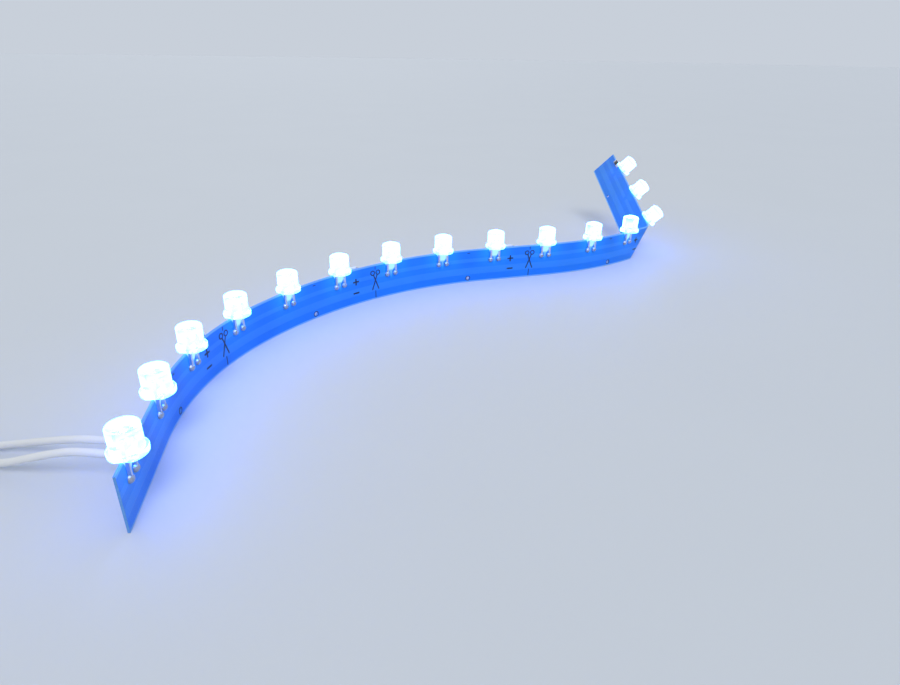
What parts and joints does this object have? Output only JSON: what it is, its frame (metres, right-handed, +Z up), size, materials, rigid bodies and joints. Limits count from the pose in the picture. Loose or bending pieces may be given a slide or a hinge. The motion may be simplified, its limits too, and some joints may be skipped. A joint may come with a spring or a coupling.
{
  "type": "flexible led strip light",
  "caption": "Thin flexible circuit board standing on its long edge in an S curve, with a row of clear straw-hat LEDs on its top edge and two supply wires that end in a tied coil.",
  "frame": {"origin": "centre of the strip's own box in plan, at the height of the long edge that it stands on; the supply wires and their coil are not counted", "axes": "+X runs the strip's length from its supply end to its far end, +Z is up, through the edge that carries the LEDs, and +Y is to the left of +X, towards the back face"},
  "size_m": [0.2318, 0.0857, 0.0276],
  "materials": {
    "board_mask": "satin azure solder mask on a thin flexible board, as its own blue light shows it",
    "clear_epoxy": "clear gloss epoxy, lit blue",
    "tinned_lead": "tinned steel, slightly dull",
    "led_die": "lit blue emitter",
    "solder": "bright tin solder",
    "chip_body": "black glazed chip on a white ceramic body",
    "chip_end": "tinned end caps and solder",
    "pad_metal": "bare tinned copper",
    "wire_light": "smooth pale grey insulation",
    "tie_plastic": "satin white nylon"
  },
  "bodies": {
    "root": {"flex_board": "board_mask", "led_01_lens": "clear_epoxy", "led_02_lens": "clear_epoxy", "led_03_lens": "clear_epoxy", "led_04_lens": "clear_epoxy", "led_05_lens": "clear_epoxy", "led_06_lens": "clear_epoxy", "led_07_lens": "clear_epoxy", "led_08_lens": "clear_epoxy", "led_09_lens": "clear_epoxy", "led_10_lens": "clear_epoxy", "led_11_lens": "clear_epoxy", "led_12_lens": "clear_epoxy", "led_13_lens": "clear_epoxy", "led_14_lens": "clear_epoxy", "led_15_lens": "clear_epoxy", "led_01_anode": "tinned_lead", "led_01_cathode": "tinned_lead", "led_02_anode": "tinned_lead", "led_02_cathode": "tinned_lead", "led_03_anode": "tinned_lead", "led_03_cathode": "tinned_lead", "led_04_anode": "tinned_lead", "led_04_cathode": "tinned_lead", "led_05_anode": "tinned_lead", "led_05_cathode": "tinned_lead", "led_06_anode": "tinned_lead", "led_06_cathode": "tinned_lead", "led_07_anode": "tinned_lead", "led_07_cathode": "tinned_lead", "led_08_anode": "tinned_lead", "led_08_cathode": "tinned_lead", "led_09_anode": "tinned_lead", "led_09_cathode": "tinned_lead", "led_10_anode": "tinned_lead", "led_10_cathode": "tinned_lead", "led_11_anode": "tinned_lead", "led_11_cathode": "tinned_lead", "led_12_anode": "tinned_lead", "led_12_cathode": "tinned_lead", "led_13_anode": "tinned_lead", "led_13_cathode": "tinned_lead", "led_14_anode": "tinned_lead", "led_14_cathode": "tinned_lead", "led_15_anode": "tinned_lead", "led_15_cathode": "tinned_lead", "resistor_1": "chip_body", "resistor_2": "chip_body", "resistor_3": "chip_body", "resistor_4": "chip_body", "resistor_5": "chip_body", "led_dies": "led_die", "led_solder": "solder", "resistor_solder": "chip_end", "supply_pads": "pad_metal", "wire_solder": "solder", "wire_positive": "wire_light", "wire_negative": "wire_light", "lead_coil": "wire_light", "coil_tie": "tie_plastic"}
  },
  "joints": []
}
